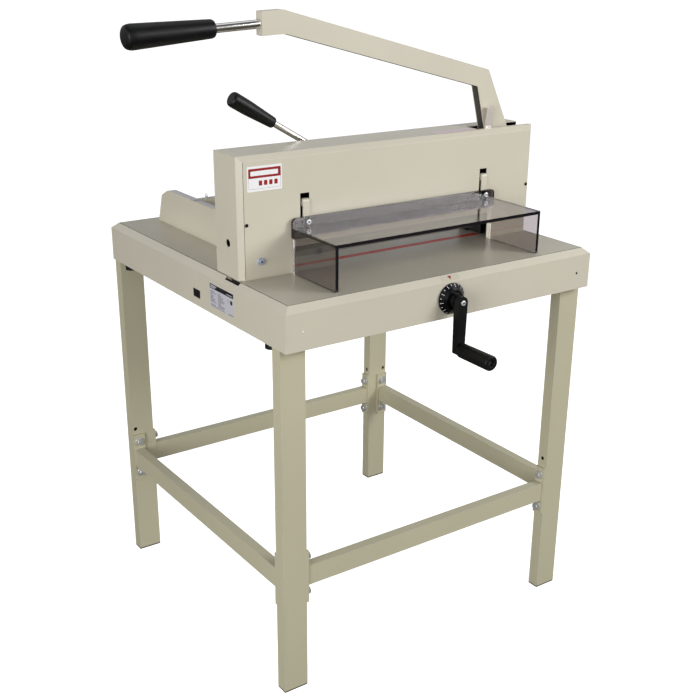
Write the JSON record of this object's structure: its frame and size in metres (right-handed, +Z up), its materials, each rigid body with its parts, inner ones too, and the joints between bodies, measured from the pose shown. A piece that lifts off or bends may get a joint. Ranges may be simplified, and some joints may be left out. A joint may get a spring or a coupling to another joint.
{
  "type": "guillotine paper cutter",
  "caption": "Hand-lever stack paper cutter with blade lever, clamp lever, clear hinged guard and cranked back gauge, on a four-legged tube stand.",
  "frame": {"origin": "middle of the machine's outline on the floor, with both levers and the crank at rest", "axes": "+X to the right along the blade, +Y from the operator to the back, +Z up; the unit is metres"},
  "size_m": [0.8571, 0.807, 1.2114],
  "materials": {
    "beige_paint": "satin powder coat",
    "leg_paint": "satin powder coat",
    "bare_steel": "brushed",
    "dark_steel": "machined and oiled",
    "zinc": "zinc plated",
    "chrome": "polished",
    "black_plastic": "matte moulded",
    "black_rubber": "matte",
    "red_plastic": "matte",
    "smoke_acrylic": "clear, smoke tinted",
    "brass": "turned"
  },
  "bodies": {
    "root": {"leg_front_left": "leg_paint", "leg_front_right": "leg_paint", "leg_rear_left": "leg_paint", "leg_rear_right": "leg_paint", "leg_end_caps": "black_rubber", "front_stretcher": "leg_paint", "rear_stretcher": "leg_paint", "left_stretcher": "leg_paint", "right_stretcher": "leg_paint", "stand_bolts": "zinc", "base_frame": "dark_steel", "base_feet": "black_rubber", "skirt_front": "beige_paint", "skirt_rear": "beige_paint", "skirt_left": "beige_paint", "skirt_right": "beige_paint", "table_plate": "beige_paint", "skirt_plug": "black_plastic", "side_guide": "beige_paint", "bushes": "brass", "front_cover": "beige_paint", "top_cover": "beige_paint", "left_end_cover": "beige_paint", "right_end_cover": "beige_paint", "rear_cover": "beige_paint", "cover_screws": "black_plastic", "lock_screw": "zinc", "portal_plate": "dark_steel", "left_upright": "dark_steel", "right_upright": "dark_steel", "guide_bolts": "bare_steel", "clamp_springs": "bare_steel", "guard_rod": "bare_steel", "latch_boss": "dark_steel"},
    "blade_lever": {"blade_arm": "beige_paint", "arm_shaft": "bare_steel", "drive_roller": "bare_steel", "arm_rod": "chrome", "main_grip": "black_plastic"},
    "carrier": {"blade_carrier": "dark_steel", "blade": "bare_steel", "blade_bolts": "zinc"},
    "clamp_lever": {"clamp_shaft": "bare_steel", "clamp_rod": "chrome", "clamp_grip": "black_plastic"},
    "clamp": {"clamp_bar": "bare_steel"},
    "guard": {"safety_guard": "smoke_acrylic", "guard_hangers": "beige_paint", "guard_screws": "zinc"},
    "crank": {"spindle": "bare_steel", "dial_hub": "black_plastic", "crank_arm": "black_plastic", "crank_screw": "zinc", "grip_pin": "bare_steel"},
    "crank_handle": {"crank_grip": "black_plastic"},
    "gauge": {"gauge_carriage": "dark_steel", "back_gauge": "beige_paint", "gauge_pointer": "zinc"},
    "stick": {"cutting_stick": "red_plastic"},
    "latch": {"safety_latch": "zinc"}
  },
  "joints": [
    {"name": "lever_swing", "type": "hinge", "parent": "root", "child": "blade_lever", "pos_m": [0.37345, -0.0755, 0.898], "axis": [0, -1, 0], "range_deg": [-26, 13]},
    {"name": "blade_slide", "type": "slide", "parent": "root", "child": "carrier", "axis": [-0.3746, 0, -0.9272], "range_m": [-0.0345, 0.0175]},
    {"name": "clamp_turn", "type": "hinge", "parent": "root", "child": "clamp_lever", "pos_m": [0.07845, -0.0105, 0.896], "axis": [0, -1, 0], "range_deg": [0, 38]},
    {"name": "clamp_slide", "type": "slide", "parent": "root", "child": "clamp", "axis": [0, 0, -1], "range_m": [0, 0.046], "stiffness_N_per_m": 900, "springref_m": -0.07, "deforming": ["clamp_springs"]},
    {"name": "guard_swing", "type": "hinge", "parent": "root", "child": "guard", "pos_m": [0.07845, -0.1095, 0.889], "axis": [-1, 0, 0], "range_deg": [0, 85]},
    {"name": "crank_turn", "type": "hinge", "parent": "root", "child": "crank", "pos_m": [0.07595, -0.2855, 0.7245], "axis": [0, 1, 0], "range_deg": [-4248, 8100]},
    {"name": "grip_spin", "type": "hinge", "parent": "crank", "child": "crank_handle", "pos_m": [0.07595, -0.3605, 0.636], "axis": [0, 1, 0], "continuous": true},
    {"name": "gauge_slide", "type": "slide", "parent": "root", "child": "gauge", "axis": [0, 1, 0], "range_m": [-0.2252, 0.1182]},
    {"name": "stick_slide", "type": "slide", "parent": "root", "child": "stick", "axis": [-1, 0, 0], "range_m": [0, 0.45]},
    {"name": "latch_turn", "type": "hinge", "parent": "root", "child": "latch", "pos_m": [0.30945, -0.0945, 0.957], "axis": [0, -1, 0], "range_deg": [0, 25], "stiffness_Nm_per_rad": 0.12, "springref_deg": -20.05}
  ],
  "couplings": [
    {"joint": "blade_slide", "follows": "lever_swing", "m_per_rad": 0.074},
    {"joint": "clamp_slide", "follows": "clamp_turn", "m_per_rad": 0.06873},
    {"joint": "gauge_slide", "follows": "crank_turn", "m_per_rad": -0.0015915}
  ]
}
